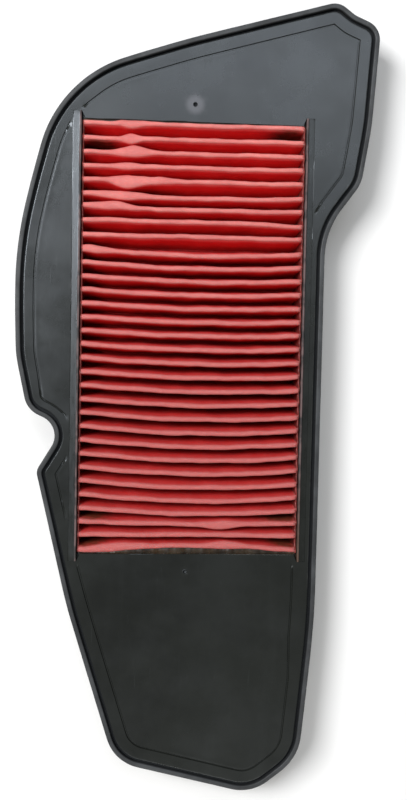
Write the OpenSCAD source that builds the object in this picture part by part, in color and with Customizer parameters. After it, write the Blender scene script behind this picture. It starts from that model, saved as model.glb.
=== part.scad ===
// Pleated panel air filter for a scooter air box.
// A moulded frame carries a glued-in pleated paper pack, and a rubber seal grips its edge.
// The filter lies flat: the dirty-air face looks up (+Z) and the support grid rests on z = 0.
// X runs across the filter, Y along it, and the origin is under the middle of its outline.

/* [Frame panel] */
// Height of the panel's upper face above the resting plane
panel_top = 22; // [18:0.5:30]
// Thickness of the flat panel
panel_thickness = 2.2; // [1.6:0.1:2.6]
// Width of the flange wall that runs round the panel behind the seal
flange_wall = 1.6; // [1.2:0.1:2.4]
// Distance from the outer edge to the incised line round the panel
line_inset = 7.2; // [6:0.1:9]
// Width of the incised line
line_width = 0.8; // [0.5:0.1:1.2]
// Depth of the incised line
line_depth = 0.5; // [0.2:0.1:0.9]

/* [Seal] */
// Width of the seal's legs, seen from above
seal_leg = 1.8; // [1.5:0.1:2.2]
// Width of the open groove between a seal leg and the flange wall
seal_groove = 1.2; // [0.8:0.1:1.6]
// Height of each flat sealing bead above and below the seal's shoulders
seal_bead = 0.4; // [0.2:0.1:0.8]
// Length of the moulded joint that closes the seal into a ring
seal_joint_length = 1; // [0.6:0.1:3]

/* [Pleated pack] */
// Number of front folds, the two end flaps included
fold_count = 32; // [8:1:34]
// Distance between neighbouring front folds
fold_pitch = 5.02; // [4.4:0.02:5.2]
// Distance from each end flap to the next fold
end_pitch = 5.3; // [5:0.1:6.5]
// Length of the folds across the pack
fold_length = 80.6; // [60:0.2:81]
// Thickness of the filter paper
paper = 0.6; // [0.4:0.05:0.8]
// Width of the flat top of a fold
fold_flat = 1.7; // [1.4:0.1:2]
// Height of the front folds above the panel's upper face
fold_rise = 0.4; // [0:0.1:1]
// Where the middle of the pack lies on the panel
pack_centre = [-1.6, 22.5];

/* [End strips and glue] */
// Thickness of each end strip
strip_width = 3; // [2:0.1:3.2]
// Length of each end strip past the window's ends
strip_reach = 2.7; // [2:0.1:4]
// Height of the end strips' lips above the panel's upper face
strip_rise = 0.5; // [0.2:0.1:1]
// Width of the lip along the pack's side of each end strip
strip_lip = 0.8; // [0.5:0.1:1.5]
// Thickness of the potting between the fold ends and an end strip
potting = 0.8; // [0.5:0.1:1.2]
// Thickness of the glue between an end flap and the window's edge
flap_glue = 0.6; // [0.3:0.05:0.8]

/* [Support grid] */
// Thickness of the grid
grid_plate = 1.6; // [1.2:0.1:2.4]
// Width of the grid's bars
grid_bar = 1.6; // [1.2:0.1:2.4]
// Number of open cells across the grid
cells_across = 4; // [2:1:6]
// Number of open cells along the grid
cells_along = 8; // [4:1:12]
// Height of the lip that clips over the pocket's walls
lip_height = 4; // [3.6:0.1:6]

/* [Hidden] */

// Cuts and joins reach this far past a face that they must break
over = 0.5;
// Round features
$fn = 48;

// Corners of the outer edge, anticlockwise from the foot: [x, y, corner radius].
// The inward corner, number 14, clears a screw boss of the air box.
EDGE = [
    [24.1, -148.3, 16], [42, -134.6, 19], [46.8, -82.6, 300], [47.4, 63.9, 30],
    [60.4, 81.6, 14], [63.8, 102.8, 90], [66.3, 138.8, 7], [56.5, 142.9, 8],
    [50.3, 147.5, 7], [-5.1, 131.8, 300], [-51.2, 116.3, 47], [-66.5, 56.6, 150],
    [-65.6, 16, 40], [-61.4, -4, 9], [-48, -10.3, 7.5], [-57.8, -26.5, 4.5],
    [-46, -76.9, 200], [-27.8, -135.4, 16]
];
EDGE_COUNT = len(EDGE);
// Angle that one short side of a rounded corner turns through
arc_step = 6;
// Smallest radius left on a corner that has been moved inwards
least_radius = 0.5;

function corner(i) = let (c = EDGE[(i + EDGE_COUNT) % EDGE_COUNT]) [c.x, c.y];
function side(i) = let (v = corner(i + 1) - corner(i)) v / norm(v);
function to_left(v) = [-v.y, v.x];
function turn(i) =
    let (a = side(i - 1), b = side(i)) atan2(a.x * b.y - a.y * b.x, a * b);
function swing(v, angle) =
    [v.x * cos(angle) - v.y * sin(angle), v.x * sin(angle) + v.y * cos(angle)];

// One rounded corner of the edge after every side has moved inwards by d
function corner_arc(i, d) =
    let (
        a = side(i - 1),
        b = side(i),
        bend = turn(i),
        way = sign(bend),
        r = max(least_radius, EDGE[i][2] - way * d),
        tip = corner(i) + d * (to_left(a) + to_left(b)) / (1 + a * b),
        start = tip - a * r * tan(abs(bend) / 2),
        middle = start + way * r * to_left(a),
        steps = max(2, ceil(abs(bend) / arc_step))
    )
    [for (k = [0:steps]) middle + swing(start - middle, bend * k / steps)];
function raw_outline(d) = [for (i = [0:EDGE_COUNT - 1]) each corner_arc(i, d)];

// The origin is moved to the middle of the outline's own box
RAW = raw_outline(0);
RAW_X = [for (p = RAW) p.x];
RAW_Y = [for (p = RAW) p.y];
MIDDLE = [(min(RAW_X) + max(RAW_X)) / 2, (min(RAW_Y) + max(RAW_Y)) / 2];
function outline(d) = [for (p = raw_outline(d)) p - MIDDLE];

// Heights
panel_under = panel_top - panel_thickness;
tongue_top = panel_top - 1.7;
tongue_thickness = 1.4;
tongue_under = tongue_top - tongue_thickness;
tongue_grip = 0.8;
seal_top = panel_top + 0.1;
seal_under = tongue_top + tongue_under - seal_top;
flange_under = seal_under;
strip_top = panel_top + strip_rise;
fold_top = panel_top + fold_rise;
thread_height = 0.6;
fold_under = grid_plate + thread_height;
glue_top = panel_top - 1.6;

// Insets from the outer edge
flange_inset = seal_leg + seal_groove;
bead_inset = 0.4;
tongue_inset = seal_leg - tongue_grip;

// Pack
pack_length = (fold_count - 3) * fold_pitch + 2 * end_pitch;
window_length = pack_length + fold_flat + 2 * flap_glue;
window_width = fold_length + 2 * potting;
strip_length = window_length + 2 * strip_reach;
strip_offset = (window_width + strip_width) / 2;
notch_width = 1.2;

// Pocket
pocket_wall = 1.3;
pocket_width = window_width + 2 * strip_width + 2 * pocket_wall;
pocket_length = strip_length + 2 * pocket_wall;

// Grid
lip_wall = 1.2;
lip_gap = 0.1;
grid_rim = 3.6;
catch_length = 8;
catch_height = 1;
catch_proud = 0.5;
catch_level = 2.4;
catch_places = [-0.34, 0, 0.34];
THREADS = [-0.375, -0.125, 0.125, 0.375];
thread_width = 1.5;

// Underside ribs: where they stand, and where they run into the pocket's walls
rib_width = 1.2;
rib_ends_x = window_width / 2 + strip_width + over;
rib_ends_y = window_length / 2 + over;
LOWER_RIBS_X = [-18, 6, 30];
LOWER_RIBS_Y = [-84, -110];
UPPER_RIBS_X = [-12, 20];
LEFT_RIBS_Y = [70, 30];
right_rib_y = 92;

// Moulding gates: centre of each round pit in the panel
GATES = [[-1.7, 108.4], [-2.4, -63.6]];
gate_radius = 0.75;
gate_depth = 1.0;

frame_colour = [0.33, 0.36, 0.38];
rubber_colour = [0.17, 0.18, 0.19];
paper_colour = [0.83, 0.27, 0.29];
strip_colour = [0.38, 0.40, 0.40];
potting_colour = [0.72, 0.42, 0.42];
grid_colour = [0.26, 0.28, 0.29];
thread_colour = [0.88, 0.80, 0.72];

// A slab with the outer edge's shape, inset by d
module slab(d, bottom, top) {
    translate([0, 0, bottom])
        linear_extrude(top - bottom) polygon(outline(d));
}

// A ring between two insets
module ring(outer, inner, bottom, top) {
    difference() {
        slab(outer, bottom, top);
        slab(inner, bottom - over, top + over);
    }
}

// A block centred on the pack, by its size and its bottom and top
module pack_block(width, length, bottom, top) {
    translate([pack_centre.x - width / 2, pack_centre.y - length / 2, bottom])
        cube([width, length, top - bottom]);
}

// The space that the pack and its end strips fill, grown by wall on every side
module pocket_space(wall, bottom, top) {
    pack_block(window_width + 2 * wall, window_length + 2 * wall, bottom, top);
    for (way = [-1, 1])
        translate([way * strip_offset, 0, 0])
            pack_block(strip_width + 2 * wall, strip_length + 2 * wall, bottom, top);
}

// Three-cornered reliefs beside the end strips' ends, at the window's four corners
module corner_notches() {
    for (x = [0, 1], y = [0, 1])
        translate([pack_centre.x, pack_centre.y, panel_top - panel_thickness])
            mirror([x, 0, 0])
                mirror([0, y, 0])
                    translate([window_width / 2, window_length / 2, 0])
                        linear_extrude(2 * panel_thickness)
                            polygon([
                                [-notch_width, -over], [over, -over],
                                [over, strip_reach], [0, strip_reach], [-notch_width, 0]
                            ]);
}

module gate_marks() {
    for (g = GATES)
        translate([g.x, g.y, panel_top - gate_depth])
            cylinder(h = gate_depth + over, r = gate_radius);
}

module rib(x0, y0, x1, y1) {
    translate([x0, y0, flange_under]) cube([x1 - x0, y1 - y0, panel_under - flange_under + over]);
}

// Stiffening ribs under the panel, between the pocket and the flange wall
module under_ribs() {
    intersection() {
        slab(flange_inset + over, flange_under, panel_top - over);
        union() {
            for (x = LOWER_RIBS_X) rib(x, -150, x + rib_width, pack_centre.y - rib_ends_y);
            for (y = LOWER_RIBS_Y) rib(-70, y, 70, y + rib_width);
            for (x = UPPER_RIBS_X) rib(x, pack_centre.y + rib_ends_y, x + rib_width, 150);
            for (y = LEFT_RIBS_Y) rib(-70, y, pack_centre.x - rib_ends_x, y + rib_width);
            rib(pack_centre.x + rib_ends_x, right_rib_y, 70, right_rib_y + rib_width);
        }
    }
}

// Wedges on the pocket's long walls that the grid's lip snaps over
module catches(extra) {
    for (way = [-1, 1], place = catch_places)
        translate([
            pack_centre.x + way * pocket_width / 2,
            pack_centre.y + place * pocket_length,
            catch_level
        ])
            cube([
                2 * (catch_proud + extra),
                catch_length + 2 * extra,
                catch_height + 2 * extra
            ], center = true);
}

module frame_panel() {
    color(frame_colour)
        difference() {
            union() {
                slab(flange_inset, panel_under, panel_top);
                slab(tongue_inset, tongue_under, tongue_top);
                ring(flange_inset, flange_inset + flange_wall, flange_under, panel_top);
                pocket_space(pocket_wall, grid_plate, panel_top - over);
                under_ribs();
                catches(0);
            }
            pocket_space(0, grid_plate - over, panel_top + over);
            corner_notches();
            ring(line_inset, line_inset + line_width, panel_top - line_depth, panel_top + over);
            gate_marks();
        }
}

// The seal's section is a U that grips the tongue, with a flat bead on each face
module seal_ring() {
    difference() {
        union() {
            ring(0, seal_leg, seal_under, seal_top);
            ring(bead_inset, seal_leg - bead_inset, seal_under - seal_bead, seal_top + seal_bead);
        }
        slab(tongue_inset, tongue_under, tongue_top);
    }
}

// The joint lies on the right-hand edge of the foot
module joint_block() {
    translate([36, -108.3, 0]) cube([12, seal_joint_length, 2 * panel_top]);
}

module perimeter_seal() {
    color(rubber_colour)
        difference() {
            seal_ring();
            joint_block();
        }
}

module seal_joint() {
    color(rubber_colour * 0.8)
        intersection() {
            seal_ring();
            joint_block();
        }
}

// An end strip lies flush with the panel, apart from a slim lip beside the pack
module end_strip(way) {
    color(strip_colour) {
        translate([way * strip_offset, 0, 0])
            pack_block(strip_width, strip_length, grid_plate, panel_top);
        translate([way * (window_width + strip_lip) / 2, 0, 0])
            pack_block(strip_lip, strip_length, grid_plate, strip_top);
    }
}

// Where the middle of front fold k lies, counted from the pack's far end
function fold_y(k) =
    let (inner = (fold_count - 3) * fold_pitch / 2)
    k == 0 ? inner + end_pitch
    : k == fold_count - 1 ? -inner - end_pitch
    : inner - (k - 1) * fold_pitch;
function valley_y(k) = (fold_y(k) + fold_y(k + 1)) / 2;

// The two skins of the folded paper, as [y, z] points along the pack
half_flat = fold_flat / 2;
half_gap = half_flat - paper;
FRONT_SKIN = [
    for (k = [0:fold_count - 1]) each concat(
        [[fold_y(k) + half_flat, fold_top], [fold_y(k) - half_flat, fold_top]],
        k == fold_count - 1 ? [] : [
            [valley_y(k) + half_gap, fold_under + paper],
            [valley_y(k) - half_gap, fold_under + paper]
        ]
    )
];
REAR_SKIN = [
    for (k = [fold_count - 1:-1:0]) each concat(
        [[fold_y(k) - half_gap, fold_top - paper], [fold_y(k) + half_gap, fold_top - paper]],
        k == 0 ? [] : [
            [valley_y(k - 1) - half_flat, fold_under],
            [valley_y(k - 1) + half_flat, fold_under]
        ]
    )
];
// The two end flaps hang straight down to the rear of the pack
PACK_PROFILE = concat(
    [[fold_y(0) + half_flat, fold_under]],
    FRONT_SKIN,
    [
        [fold_y(fold_count - 1) - half_flat, fold_under],
        [fold_y(fold_count - 1) - half_gap, fold_under]
    ],
    REAR_SKIN,
    [[fold_y(0) + half_gap, fold_under]]
);

module pleated_element() {
    color(paper_colour)
        translate([pack_centre.x - fold_length / 2, pack_centre.y, 0])
            rotate([90, 0, 90])
                linear_extrude(fold_length) polygon(PACK_PROFILE);
}

module end_potting(way) {
    color(potting_colour)
        translate([way * (fold_length + potting) / 2, 0, 0])
            pack_block(potting, pack_length + fold_flat, fold_under, glue_top);
}

module flap_glue_line(way) {
    color(potting_colour)
        translate([0, way * (window_length - flap_glue) / 2, 0])
            pack_block(fold_length, flap_glue, fold_under, glue_top);
}

module support_grid() {
    outer_width = pocket_width + 2 * (lip_wall + lip_gap);
    outer_length = pocket_length + 2 * (lip_wall + lip_gap);
    open_width = pocket_width - 2 * grid_rim;
    open_length = pocket_length - 2 * grid_rim;
    cell_x = (open_width - (cells_across - 1) * grid_bar) / cells_across;
    cell_y = (open_length - (cells_along - 1) * grid_bar) / cells_along;
    color(grid_colour)
        difference() {
            pack_block(outer_width, outer_length, 0, lip_height);
            pack_block(
                pocket_width + 2 * lip_gap, pocket_length + 2 * lip_gap,
                grid_plate, lip_height + over
            );
            for (i = [0:cells_across - 1], j = [0:cells_along - 1])
                translate([
                    pack_centre.x - open_width / 2 + i * (cell_x + grid_bar),
                    pack_centre.y - open_length / 2 + j * (cell_y + grid_bar),
                    -over
                ])
                    cube([cell_x, cell_y, grid_plate + 2 * over]);
            catches(lip_wall);
        }
}

// Hot-melt thread that holds the rear folds apart
module spacer_thread(place) {
    color(thread_colour)
        translate([place * fold_length, 0, 0])
            pack_block(thread_width, pack_length - 2 * end_pitch, grid_plate, fold_under);
}

frame_panel();
perimeter_seal();
seal_joint();
end_strip(-1);  // left_end_strip
end_strip(1);  // right_end_strip
pleated_element();
end_potting(-1);  // left_potting
end_potting(1);  // right_potting
flap_glue_line(1);  // top_flap_glue
flap_glue_line(-1);  // bottom_flap_glue
support_grid();
spacer_thread(THREADS[0]);  // spacer_thread_1
spacer_thread(THREADS[1]);  // spacer_thread_2
spacer_thread(THREADS[2]);  // spacer_thread_3
spacer_thread(THREADS[3]);  // spacer_thread_4
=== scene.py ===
"""Looks of a pleated panel air filter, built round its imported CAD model.

Shapes are worked out in millimetres, in the CAD frame, and become metres when a mesh is made.
"""
import math

import bmesh
import bpy
import numpy as np
from mathutils import Matrix, Vector
from mathutils.geometry import delaunay_2d_cdt


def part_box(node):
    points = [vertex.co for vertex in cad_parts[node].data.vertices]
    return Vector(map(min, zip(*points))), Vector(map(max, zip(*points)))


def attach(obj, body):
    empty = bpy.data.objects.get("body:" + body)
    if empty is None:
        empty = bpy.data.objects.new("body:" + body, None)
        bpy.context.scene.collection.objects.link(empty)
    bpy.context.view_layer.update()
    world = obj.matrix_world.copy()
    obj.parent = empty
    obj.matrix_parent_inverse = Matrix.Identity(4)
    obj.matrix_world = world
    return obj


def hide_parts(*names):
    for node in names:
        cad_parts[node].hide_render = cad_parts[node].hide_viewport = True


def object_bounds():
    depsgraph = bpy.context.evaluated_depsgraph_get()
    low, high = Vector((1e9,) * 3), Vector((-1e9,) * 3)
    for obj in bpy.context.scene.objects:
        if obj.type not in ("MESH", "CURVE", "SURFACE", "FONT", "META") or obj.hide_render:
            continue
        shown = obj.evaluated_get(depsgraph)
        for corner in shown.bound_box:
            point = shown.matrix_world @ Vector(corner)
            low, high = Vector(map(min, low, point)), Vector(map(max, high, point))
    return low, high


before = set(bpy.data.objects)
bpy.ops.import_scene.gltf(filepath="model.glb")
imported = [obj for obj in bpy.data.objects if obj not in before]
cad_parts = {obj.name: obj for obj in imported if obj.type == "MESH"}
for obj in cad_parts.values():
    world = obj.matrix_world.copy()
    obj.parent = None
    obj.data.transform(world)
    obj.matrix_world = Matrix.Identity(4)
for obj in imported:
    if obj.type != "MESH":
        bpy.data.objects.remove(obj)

MM = 0.001
cad_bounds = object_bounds()


# ---------------------------------------------------------------- places from the CAD model

def box(node):
    """Lowest and highest corner of a CAD node, in mm."""
    low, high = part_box(node)
    return np.array(low) / MM, np.array(high) / MM


frame_low, frame_high = box("frame_panel")
seal_low, seal_high = box("perimeter_seal")
joint_low, joint_high = box("seal_joint")
paper_low, paper_high = box("pleated_element")
grid_low, grid_high = box("support_grid")
left_strip = box("left_end_strip")
right_strip = box("right_end_strip")

PANEL_THICKNESS = 2.2
TONGUE_DROP = 1.7
TONGUE_THICKNESS = 1.4
FLANGE_HEIGHT = 4.9
PANEL_TOP = frame_high[2]
PANEL_UNDER = PANEL_TOP - PANEL_THICKNESS
TONGUE_TOP = PANEL_TOP - TONGUE_DROP
TONGUE_UNDER = TONGUE_TOP - TONGUE_THICKNESS
FLANGE_UNDER = PANEL_TOP - FLANGE_HEIGHT
TONGUE_INSET = seal_high[0] - frame_high[0]
SEAL_LEG = 1.8
FLANGE_INSET = 3.0
LINE_INSET = 7.2
LINE_WIDTH = 0.8
LINE_DEPTH = 0.5
LINE_FLANK = 0.22
GATE_RADIUS = 0.75
GATE_DEPTH = 1.0
POCKET_WALL = 1.3
POCKET_FLOOR = left_strip[0][2]
NOTCH_WIDTH = 1.2
STRIP_LIP = 0.8
RIB_WIDTH = 1.2
CELLS_ACROSS = 4
CELLS_ALONG = 8
GRID_PLATE = 1.6
GRID_BAR = 1.6
GRID_RIM = 3.6
LIP_WALL = 1.2
LIP_GAP = 0.1
CATCH_PLACES = (-0.34, 0, 0.34)
CATCH_LENGTH = 8
CATCH_LEVEL = 2.4
CATCH_HEIGHT = 1.0
CATCH_PROUD = 0.5

# The window between the strips, and the two strips, as (x0, y0, x1, y1)
WINDOW = (left_strip[1][0], box("bottom_flap_glue")[0][1],
          right_strip[0][0], box("top_flap_glue")[1][1])
STRIPS = [(low[0], low[1], high[0], high[1]) for low, high in (left_strip, right_strip)]


def wall_edges(node, height):
    """Level edges of a CAD node's upright walls at one height, as pairs of plan points."""
    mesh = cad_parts[node].data
    mesh.calc_loop_triangles()
    points = np.array([v.co for v in mesh.vertices]) / MM
    corners = points[np.array([t.vertices for t in mesh.loop_triangles])]
    normals = np.cross(corners[:, 1] - corners[:, 0], corners[:, 2] - corners[:, 0])
    normals /= np.maximum(np.linalg.norm(normals, axis=1, keepdims=True), 1e-12)
    level = np.abs(corners[:, :, 2] - height) < 0.01
    chosen = (np.abs(normals[:, 2]) < 0.01) & (level.sum(axis=1) == 2)
    edges = []
    for triangle, on in zip(corners[chosen], level[chosen]):
        for i in range(3):
            j = (i + 1) % 3
            if on[i] and on[j]:
                edges.append((tuple(np.round(triangle[i][:2], 3)), tuple(np.round(triangle[j][:2], 3))))
    return edges


def wall_loops(node, height):
    """The closed loops that those edges form, the largest first."""
    following = dict(wall_edges(node, height))
    loops = []
    while following:
        start = next(iter(following))
        loop, here = [start], following.pop(start)
        while here != start and here in following:
            loop.append(here)
            here = following.pop(here)
        if len(loop) > 2:
            loops.append(np.array(loop))
    return sorted(loops, key=lambda loop: -abs(area(loop)))


def area(loop):
    x, y = loop[:, 0], loop[:, 1]
    return 0.5 * float(np.sum(x * np.roll(y, -1) - np.roll(x, -1) * y))


# The two gates' pits, the upper one first
GATES = sorted(((loop.min(axis=0) + loop.max(axis=0)) / 2
                for loop in wall_loops("frame_panel", PANEL_TOP - GATE_DEPTH)
                if np.ptp(loop, axis=0).max() < 3 * GATE_RADIUS), key=lambda at: -at[1])


# ---------------------------------------------------------------- curves

def unit(v):
    return v / np.maximum(np.linalg.norm(v, axis=-1, keepdims=True), 1e-12)


def rounded_through(points, per_side=24):
    """A smooth closed curve through a polygon's corners that keeps its straight sides straight."""
    ahead = np.roll(points, -1, axis=0) - points
    length = np.linalg.norm(ahead, axis=1, keepdims=True)
    tangent = unit(ahead + np.roll(ahead, 1, axis=0))
    t = np.arange(per_side)[:, None] / per_side
    h00, h10 = 2 * t**3 - 3 * t**2 + 1, t**3 - 2 * t**2 + t
    h01, h11 = 3 * t**2 - 2 * t**3, t**3 - t**2
    sides = []
    for i in range(len(points)):
        j = (i + 1) % len(points)
        sides.append(h00 * points[i] + h10 * length[i] * tangent[i]
                     + h01 * points[j] + h11 * length[i] * tangent[j])
    return np.vstack(sides)


class Edge:
    """The filter's outer edge as a smooth closed curve, addressed by the distance along it."""

    def __init__(self, loop):
        if area(loop) < 0:
            loop = loop[::-1]
        curve = rounded_through(loop)
        closed = np.vstack([curve, curve[:1]])
        steps = np.linalg.norm(np.diff(closed, axis=0), axis=1)
        self.length = steps.sum()
        self.s = np.concatenate([[0], np.cumsum(steps)])
        self.closed = closed

    def point(self, s):
        s = np.mod(s, self.length)
        return np.column_stack([np.interp(s, self.s, self.closed[:, k]) for k in (0, 1)])

    def inward(self, s, reach=0.8):
        """Unit normals that point into the filter, taken over a short reach so that they turn evenly."""
        ahead = unit(self.point(s + reach) - self.point(s - reach))
        return np.column_stack([-ahead[:, 1], ahead[:, 0]])

    def inset(self, s, d, reach=0.8):
        return self.point(s) + d * self.inward(s, reach)


def outer_edge():
    """The seal's outer edge: the tongue's edge, moved outwards, and kept inside the CAD box."""
    tongue = Edge(wall_loops("frame_panel", TONGUE_TOP)[0])
    s = np.linspace(0, tongue.length, 1600, endpoint=False)
    curve = tongue.inset(s, -TONGUE_INSET)
    middle = (seal_low[:2] + seal_high[:2]) / 2
    half = (seal_high[:2] - seal_low[:2]) / 2
    reach = np.abs(curve - middle).max(axis=0)
    return Edge(middle + (curve - middle) * np.minimum(1, half / reach))


edge = outer_edge()
EDGE_STATIONS = 1000
stations = np.linspace(0, edge.length, EDGE_STATIONS, endpoint=False)
edge_points = edge.point(stations)


def edge_distance(points):
    """Distance from each plan point to the outer edge."""
    start, end = edge_points, np.roll(edge_points, -1, axis=0)
    along = end - start
    square = np.sum(along * along, axis=1)
    nearest = []
    for chunk in np.array_split(points, max(1, len(points) // 500)):
        t = np.sum((chunk[:, None] - start) * along, axis=2) / square
        foot = start + np.clip(t, 0, 1)[..., None] * along
        nearest.append(np.linalg.norm(chunk[:, None] - foot, axis=2).min(axis=1))
    return np.concatenate(nearest)


def inside(points, loop):
    """Whether each plan point is inside a closed loop."""
    result = np.zeros(len(points), bool)
    for a, b in zip(loop, np.roll(loop, -1, axis=0)):
        if a[1] == b[1]:
            continue
        crosses = (a[1] > points[:, 1]) != (b[1] > points[:, 1])
        at = a[0] + (points[:, 1] - a[1]) * (b[0] - a[0]) / (b[1] - a[1])
        result ^= crosses & (points[:, 0] < at)
    return result


def ripple(t, seed, wavelength, octaves=4):
    """Smooth repeatable noise of about unit size along one or more coordinates."""
    draw = np.random.RandomState(seed)
    total = np.zeros(np.shape(t))
    for k in range(octaves):
        phase, stretch = draw.uniform(0, 2 * math.pi), draw.uniform(0.8, 1.25)
        total = total + np.sin(np.asarray(t) * 2 * math.pi * stretch * 1.7**k / wavelength + phase) / 1.5**k
    return total / 1.8


def ripple_2d(x, y, seed, wavelength):
    """Smooth repeatable noise of about unit size over a plane."""
    draw = np.random.RandomState(seed)
    total = np.zeros(np.shape(x))
    for _ in range(7):
        heading, phase = draw.uniform(0, 2 * math.pi, 2)
        size = wavelength * draw.uniform(0.6, 1.6)
        along = x * math.cos(heading) + y * math.sin(heading)
        total = total + np.sin(along * 2 * math.pi / size + phase)
    return total / 3


# ---------------------------------------------------------------- meshes

class Shell:
    """Collects points and faces, in mm, and turns them into one piece."""

    def __init__(self):
        self.points, self.faces, self.count = [], [], 0

    def add(self, points, faces=()):
        """Adds points, and faces that count from the first of them. Gives that first number."""
        first = self.count
        self.points.append(np.asarray(points, float).reshape(-1, 3))
        self.count += len(self.points[-1])
        self.faces.extend(tuple(int(i) + first for i in face) for face in faces)
        return first

    def face(self, *corners):
        self.faces.append(tuple(int(i) for i in corners))

    def band(self, a, b, closed=True):
        """Quads between two rows of equal length, given by their point numbers."""
        n = len(a)
        for i in range(n if closed else n - 1):
            j = (i + 1) % n
            self.face(a[i], a[j], b[j], b[i])

    def tube(self, rows, closed_along=False):
        """A closed skin over rows of points, where each row is a closed section."""
        rows = np.asarray(rows, float)
        count, size = rows.shape[:2]
        number = np.arange(count * size).reshape(count, size) + self.add(rows.reshape(-1, 3))
        for i in range(count if closed_along else count - 1):
            self.band(number[i], number[(i + 1) % count])
        if not closed_along:
            self.face(*number[0])
            self.face(*number[-1][::-1])

    def piece(self, name, material, slot, replaced, sharp=40, bevel=0.0, values=None):
        """Makes the object, with values as attributes of its points, and gives it its place in the frame."""
        mesh = bpy.data.meshes.new(name)
        mesh.from_pydata((np.vstack(self.points) * MM).tolist(), [], self.faces)
        for key, value in (values or {}).items():
            mesh.attributes.new(key, "FLOAT", "POINT").data.foreach_set("value", value.astype(np.float32))
        tidy = bmesh.new()
        tidy.from_mesh(mesh)
        bmesh.ops.recalc_face_normals(tidy, faces=tidy.faces)
        if bevel:
            edges = [e for e in tidy.edges if len(e.link_faces) == 2 and e.calc_face_angle() > 0.5]
            bmesh.ops.bevel(tidy, geom=edges, offset=bevel * MM, segments=2, profile=0.6,
                            affect="EDGES", clamp_overlap=True)
        tidy.to_mesh(mesh)
        tidy.free()
        mesh.shade_smooth()
        mesh.set_sharp_from_angle(angle=math.radians(sharp))
        mesh.materials.append(material)
        piece = bpy.data.objects.new(name, mesh)
        bpy.context.scene.collection.objects.link(piece)
        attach(piece, "root")
        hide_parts(*replaced)
        return piece


def plan_triangles(boundary, holes, lines, spots):
    """Triangles over the plan area inside boundary and outside holes, with lines kept as edges.

    The points come back in the order boundary, holes, lines, spots, and then those at crossing lines.
    """
    closed = [boundary, *holes]
    points, edges, rim_edges = [], [], []
    for row in [*closed, *lines]:
        first = sum(len(p) for p in points)
        points.append(row)
        edges += [(first + i, first + i + 1) for i in range(len(row) - 1)]
        is_rim = any(row is loop for loop in closed)
        if is_rim or np.linalg.norm(row[0] - row[-1]) < 2.5 * np.linalg.norm(row[1] - row[0]):
            edges.append((first + len(row) - 1, first))
        if is_rim:
            rim_edges += edges[-len(row):]
    given = np.vstack([*points, spots])
    found, _, triangles, origins, _, _ = delaunay_2d_cdt([Vector(p) for p in given], edges, [], 0, 1e-5)
    place = np.array([tuple(p) for p in found])
    order = np.full(len(place), -1)
    for new, old in enumerate(origins):
        if old:
            order[new] = old[0]
    extra = np.where(order < 0)[0]
    order[extra] = len(given) + np.arange(len(extra))
    result = np.vstack([given, place[extra]])
    triangles = order[np.array(triangles)]
    centre = result[triangles].mean(axis=1)
    keep = inside(centre, boundary)
    for hole in holes:
        keep &= ~inside(centre, hole)
    triangles = triangles[keep]

    # Flat slivers along a straight rim leave an inner side without a neighbour, and go
    sides = np.sort(triangles[:, [[0, 1], [1, 2], [2, 0]]], axis=2)
    code = sides[..., 0] * len(result) + sides[..., 1]
    rim = np.sort(np.array(rim_edges), axis=1)
    _, place, count = np.unique(code, return_inverse=True, return_counts=True)
    alone = (count[place].reshape(code.shape) == 1) & ~np.isin(code, rim[:, 0] * len(result) + rim[:, 1])
    return result, triangles[~alone.any(axis=1)]


def hexagonal(low, high, pitch):
    """Points in staggered rows over a plan box."""
    rows = []
    for i, y in enumerate(np.arange(low[1], high[1], pitch * 0.87)):
        x = np.arange(low[0] + (i % 2) * pitch / 2, high[0], pitch)
        rows.append(np.column_stack([x, np.full(len(x), y)]))
    return np.vstack(rows)


def clear_of(points, rows, gap):
    """The points that are further than gap from every point in rows."""
    rows = np.vstack(rows)
    keep = [np.linalg.norm(part[:, None] - rows, axis=2).min(axis=1) > gap
            for part in np.array_split(points, max(1, len(points) // 200))]
    return points[np.concatenate(keep)]


def block_solid(shell, xs, ys, zs, filled):
    """The skin of all the cells between the given planes for which filled(x, y, z) is true."""
    xs, ys, zs = (sorted(set(np.round(v, 4))) for v in (xs, ys, zs))
    mid = [[(a + b) / 2 for a, b in zip(v, v[1:])] for v in (xs, ys, zs)]
    solid = np.zeros([len(m) + 2 for m in mid], bool)
    for i, x in enumerate(mid[0]):
        for j, y in enumerate(mid[1]):
            for k, z in enumerate(mid[2]):
                solid[i + 1, j + 1, k + 1] = filled(x, y, z)
    grid = (xs, ys, zs)
    numbers = {}

    def number(corner):
        if corner not in numbers:
            numbers[corner] = shell.add([[grid[a][corner[a]] for a in range(3)]])
        return numbers[corner]

    for cell in np.argwhere(solid):
        for axis in range(3):
            for way in (0, 1):
                beside = cell.copy()
                beside[axis] += 2 * way - 1
                if solid[tuple(beside)]:
                    continue
                u, v = (axis + 1) % 3, (axis + 2) % 3
                corners = []
                for du, dv in ((0, 0), (1, 0), (1, 1), (0, 1)):
                    corner = cell - 1
                    corner[axis] += way
                    corner[u] += du
                    corner[v] += dv
                    corners.append(number(tuple(corner)))
                shell.face(*(corners if way else corners[::-1]))


# ---------------------------------------------------------------- materials

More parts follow.
